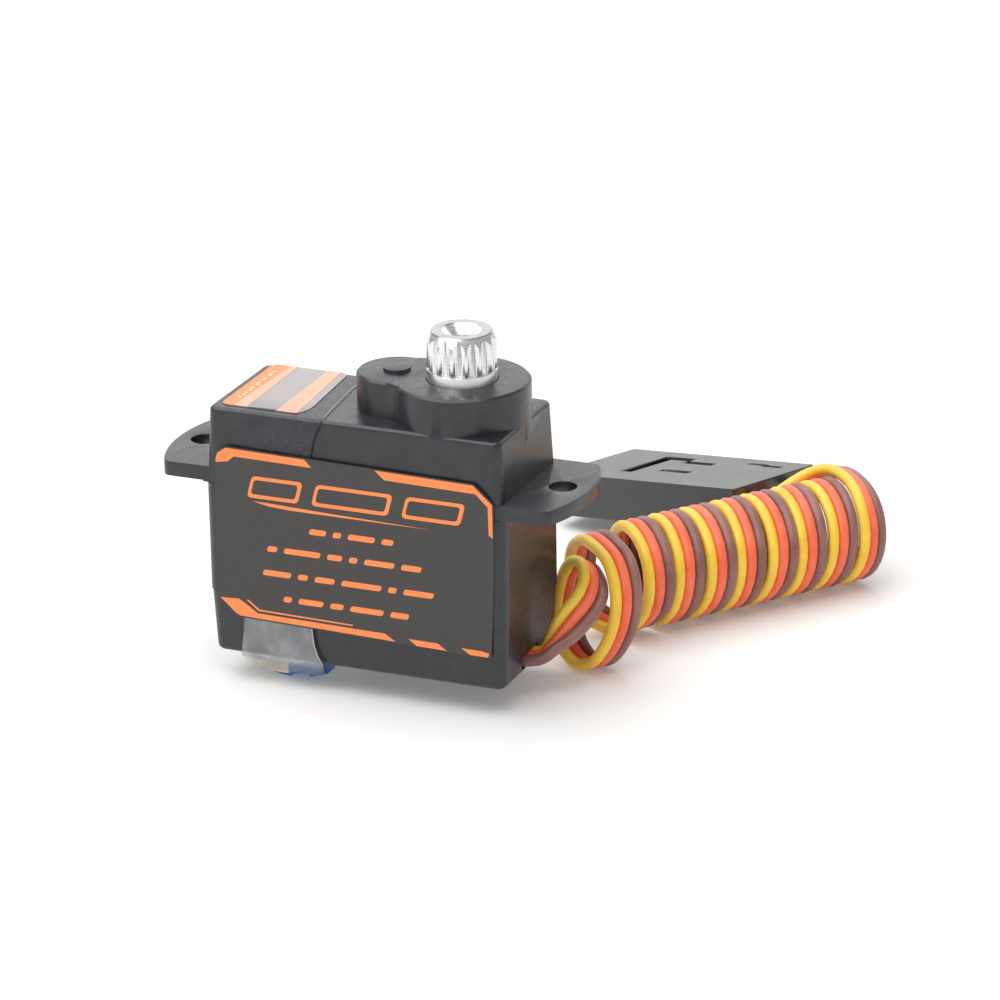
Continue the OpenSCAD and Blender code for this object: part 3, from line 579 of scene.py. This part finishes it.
def box_outline(u, w, width, height, lean=0.0):
    """A bar whose upper edge is moved along by lean."""
    return [(u, w), (u + width, w), (u + width + lean, w + height), (u + lean, w + height)]


LABEL_Y = -4.2
LABEL_THICKNESS = 0.09
INK_LAYERS = (LABEL_Y - 0.012, LABEL_Y - 0.001)
LABEL = [(0.78, 11.55), (0.92, 12.1), (1.5, 12.45), (16.35, 12.15), (17.52, 11.1), (17.42, 6.0),
         (17.22, 2.1), (17.0, 2.02), (2.0, 2.38), (0.74, 3.38), (0.66, 7.0)]
label = plates("label_plate", [rounded(LABEL, 0.22)], LABEL_Y, LABEL_Y + LABEL_THICKNESS,
               FILM, "label_dark", place)
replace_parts(label, "front_label")

BANDS = [
    [(0.86, 11.6), (0.98, 12.02), (1.5, 12.37), (6.28, 12.28), (6.69, 11.85), (1.98, 11.92),
     (1.62, 11.6), (0.88, 11.45)],
    [(10.48, 12.2), (16.3, 12.08), (17.42, 11.08), (17.42, 9.14), (17.2, 9.3), (17.16, 10.92),
     (16.45, 11.6), (11.06, 11.7)],
    [(0.85, 3.4), (2.0, 3.46), (2.49, 3.16), (3.12, 2.74), (10.89, 2.63), (11.48, 2.24),
     (2.03, 2.46), (1.8, 2.56)],
    [(12.27, 2.52), (14.04, 2.5), (14.56, 2.14), (12.76, 2.17)],
    [(15.43, 2.44), (16.65, 2.42), (17.1, 2.34), (17.02, 2.1), (15.97, 2.1)],
    [(2.46, 3.46), (2.58, 3.48), (3.24, 2.98), (8.93, 2.88), (8.93, 2.8), (3.18, 2.88)],
    [(3.07, 9.42), (3.98, 9.24), (5.34, 9.16), (13.75, 9.16), (7.77, 9.3), (4.0, 9.42)],
]


TITLE_BARS = ((2.7, 3.1), (6.6, 4.6), (12.0, 3.5))  # left edge, width
ROW_HEIGHT = 0.34
ROW_GAP = 0.42
ROWS = (  # left edge, height above the underside, widths of the dashes
    (6.4, 7.9, (1.0, 0.5, 1.6, 0.7)), (3.8, 6.55, (0.6, 2.2, 0.9, 0.5, 1.8, 1.2)),
    (3.5, 5.1, (1.7, 0.6, 1.2, 2.4, 0.5, 1.8)), (4.7, 3.65, (0.5, 1.5, 0.8, 2.0, 1.1)),
)


def title_rings():
    """Generic hollow bars in place of the printed name."""
    out = []
    for u, width in TITLE_BARS:
        out.append([rounded(box_outline(u, 9.62, width, 1.3, 0.35), 0.3),
                    rounded(box_outline(u + 0.25, 9.84, width - 0.43, 0.86, 0.23), 0.2)])
    return out


def row_marks():
    """Generic dashes in place of the four printed lines."""
    out = []
    for u, w, widths in ROWS:
        for width in widths:
            out.append(rounded(box_outline(u, w, width, ROW_HEIGHT, 0.1), 0.15))
            u += width + ROW_GAP
    return out


def rings(name, pairs, front, back, material, slot, to_point):
    """Plates with a hole of the same number of corners."""
    vertices, faces = [], []
    for outer, inner in pairs:
        n, base = len(outer), len(vertices)
        loops = [[to_point(a, b, depth) for a, b in outline]
                 for depth in (front, back) for outline in (outer, inner)]
        vertices += sum(loops, [])
        for i in range(n):
            j = (i + 1) % n
            of, jf, ob, jb = base, base + n, base + 2 * n, base + 3 * n
            faces += [[of + i, of + j, jf + j, jf + i], [ob + i, jb + i, jb + j, ob + j],
                      [of + i, ob + i, ob + j, of + j], [jf + i, jf + j, jb + j, jb + i]]
    return solid(name, vertices, faces, material)


plates("label_bands", BANDS, *INK_LAYERS, INK, "label_orange", place)
rings("label_title_marks", title_rings(), *INK_LAYERS, INK, "label_orange", place)
plates("label_row_marks", row_marks(), *INK_LAYERS, INK, "label_orange", place)


def on_top(u, y, z):
    """A point from millimetres along the top, its depth and its height."""
    return Vector((CASE_LEFT + u, y, z))


TOP_Z = -2.1
TOP_FRONT_Y = -3.2
TOP_BACK_Y = 3.75
TOP_FILM_THICKNESS = 0.04
TOP_LEFT_U = 0.8
TOP_CORNER_R = 0.5
STRIPE_RIGHT_U = 2.2
SPECK_U = 1.26
SPECK_STAGGER = 0.06
TOP_LAYERS = (TOP_Z + 0.041, TOP_Z + 0.055)
SPECK_LAYERS = (TOP_Z + 0.056, TOP_Z + 0.062)
SPECK_ROWS = (-1.95, -1.55, -1.2, -0.7, -0.35, 0.2, 0.5, 1.0, 1.3, 1.85, 2.1, 2.5)
top = plates("top_label_film",
             [rounded([(TOP_LEFT_U, TOP_FRONT_Y), (5.5, TOP_FRONT_Y), (5.85, TOP_FRONT_Y + 0.9),
                       (5.45, TOP_BACK_Y), (TOP_LEFT_U, TOP_BACK_Y)], TOP_CORNER_R)],
             TOP_Z, TOP_Z + TOP_FILM_THICKNESS, TOP_FILM, "label_dark", on_top)
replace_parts(top, "top_label")
plates("top_label_stripe",
       [rounded([(TOP_LEFT_U, TOP_FRONT_Y), (STRIPE_RIGHT_U, TOP_FRONT_Y), (2.1, TOP_BACK_Y),
                 (TOP_LEFT_U, TOP_BACK_Y)], TOP_CORNER_R)],
       *TOP_LAYERS, TOP_INK, "label_orange", on_top)
plates("top_label_pale_stripes",
       [[(1.6, TOP_FRONT_Y), (2.42, TOP_FRONT_Y), (2.3, TOP_BACK_Y), (1.9, TOP_BACK_Y)],
        [(4.21, TOP_FRONT_Y), (5.45, TOP_FRONT_Y), (4.98, TOP_BACK_Y), (4.17, TOP_BACK_Y)]],
       TOP_LAYERS[0], TOP_LAYERS[1] + 0.002, PALE_INK, "label_orange", on_top)
plates("top_label_specks",
       [rounded(box_outline(SPECK_U + SPECK_STAGGER * (i % 2), y, 0.2, 0.16), 0.05)
        for i, y in enumerate(SPECK_ROWS)],
       *SPECK_LAYERS, SPECK_INK, "label_orange", on_top)
# Painted shade: a dark strip along the front edge of the top label, for a crease.
plates("top_label_crease_shade", [[(2.5, TOP_FRONT_Y - 0.02), (4.15, TOP_FRONT_Y - 0.02),
                             (4.15, TOP_FRONT_Y + 0.14), (2.9, TOP_FRONT_Y + 0.1)]],
       *TOP_LAYERS, FILM, "label_dark", on_top)

TAPE_STATIONS = [  # left, right, y, height above the underside
    (2.2, 6.6, 4.14, 1.0), (2.2, 6.6, 4.14, 6.0), (2.2, 6.55, 4.14, 10.2), (2.2, 6.5, 3.9, 14.2),
    (2.2, 6.5, 3.72, 14.52), (2.2, 6.55, 3.4, 14.56), (2.25, 6.7, 1.0, 14.56), (2.3, 6.95, -1.6, 14.56),
    (2.3, 7.15, -3.45, 14.56), (2.3, 7.15, -3.74, 14.5), (2.3, 7.05, -3.9, 14.2), (2.3, 6.7, -3.96, 13.4),
    (2.33, 6.5, -4.03, 12.3), (2.3, 6.5, -4.14, 10.2), (2.25, 6.45, -4.14, 6.0), (2.25, 6.39, -4.14, 2.4),
    (2.15, 6.5, -4.13, 1.3), (2.06, 6.68, -4.12, 0.7), (2.0, 7.0, -4.1, 0.05), (2.6, 6.9, -3.7, -0.7),
    (3.0, 6.0, -2.9, -1.12),
]


TAPE_COLUMNS = 9
TAPE_THICKNESS = 0.03
TAPE_LIFT = 0.02  # the edge lines lie this far above the tape


def thicken(obj):
    thick = obj.modifiers.new("thickness", "SOLIDIFY")
    thick.thickness = TAPE_THICKNESS * MM
    thick.offset = 0


def tape_strip():
    """The clear tape: over the back, the top and the front, and under the motor's end."""
    columns, vertices, faces = TAPE_COLUMNS, [], []
    for left, right, y, w in TAPE_STATIONS:
        vertices += [place(left + (right - left) * k / (columns - 1), w, y) for k in range(columns)]
    for i in range(len(TAPE_STATIONS) - 1):
        for k in range(columns - 1):
            a = i * columns + k
            faces.append([a, a + 1, a + columns + 1, a + columns])
    obj = mesh_object("clear_tape_strip", vertices, faces, TAPE)
    thicken(obj)
    for polygon in obj.data.polygons:
        polygon.use_smooth = True
    return obj


def ribbon(name, points, width, material):
    """A thin flat line laid through the points (left edge x, y, height)."""
    vertices, faces = [], []
    for u, y, w in points:
        vertices += [place(u, w, y), place(u + width, w, y)]
    for i in range(len(points) - 1):
        a = 2 * i
        faces.append([a, a + 1, a + 3, a + 2])
    obj = mesh_object(name, vertices, faces, material)
    thicken(obj)
    return obj


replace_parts(tape_strip(), "clear_tape")
# Painted highlights along the tape's edge on top and low down, and a painted shade line on the front.
ribbon("clear_tape_edge_top", [(right, y, w + TAPE_LIFT) for _, right, y, w in TAPE_STATIONS[5:9]],
       0.035, EDGE_GLINT)
ribbon("clear_tape_edge_front", [(right, y - TAPE_LIFT, w) for _, right, y, w in TAPE_STATIONS[9:13]],
       0.07, EDGE_SHADE)
ribbon("clear_tape_edge_low",
       [(right - 0.06, y - TAPE_LIFT, w) for _, right, y, w in TAPE_STATIONS[15:19]],
       0.08, EDGE_GLINT)

# ---------------------------------------------------------------- studio
FLOOR_HALF_M = 3.0
FLOOR_GAP = 0.005
FLOOR_GLOW = 0.14
WORLD_LIGHT = 0.45


def stage_floor(half, z):
    mesh = bpy.data.meshes.new("floor")
    mesh.from_pydata([(-half, -half, z), (half, -half, z), (half, half, z), (-half, half, z)], [],
                     [[0, 1, 2, 3]])
    obj = bpy.data.objects.new("floor", mesh)
    scene.collection.objects.link(obj)
    return obj


floor = stage_floor(FLOOR_HALF_M, (FLOOR_Z - FLOOR_GAP) * MM)
floor_paint = Paint("floor_white", Roughness=0.7, Base_Color=(0.8, 0.795, 0.785, 1))
floor_paint.shader.inputs["Emission Color"].default_value = (1, 1, 1, 1)
floor_paint.shader.inputs["Emission Strength"].default_value = FLOOR_GLOW
paint_object(floor, floor_paint.material)

world = bpy.data.worlds.new("studio")
world.use_nodes = True
world.node_tree.nodes["Background"].inputs["Color"].default_value = (1, 1, 1, 1)
world.node_tree.nodes["Background"].inputs["Strength"].default_value = WORLD_LIGHT
scene.world = world


def area(name, location, size, radiance, diffuse=True):
    """A soft panel of the given brightness, facing the object; without diffuse it only shows in gloss."""
    data = bpy.data.lights.new(name, "AREA")
    data.shape = "RECTANGLE"
    data.size, data.size_y = size
    data.energy = radiance * math.pi * size[0] * size[1]
    light = bpy.data.objects.new(name, data)
    scene.collection.objects.link(light)
    light.location = location
    light.rotation_euler = (-Vector(location)).to_track_quat("-Z", "Y").to_euler()
    light.visible_diffuse = diffuse


area("back", (-0.2, 0.55, 0.3), (1.2, 0.5), 1.08, diffuse=False)
area("front", (-0.22, -0.38, 0.36), (0.8, 0.4), 1.4, diffuse=False)
area("top", (-0.12, -0.08, 0.55), (0.9, 0.7), 2.5)
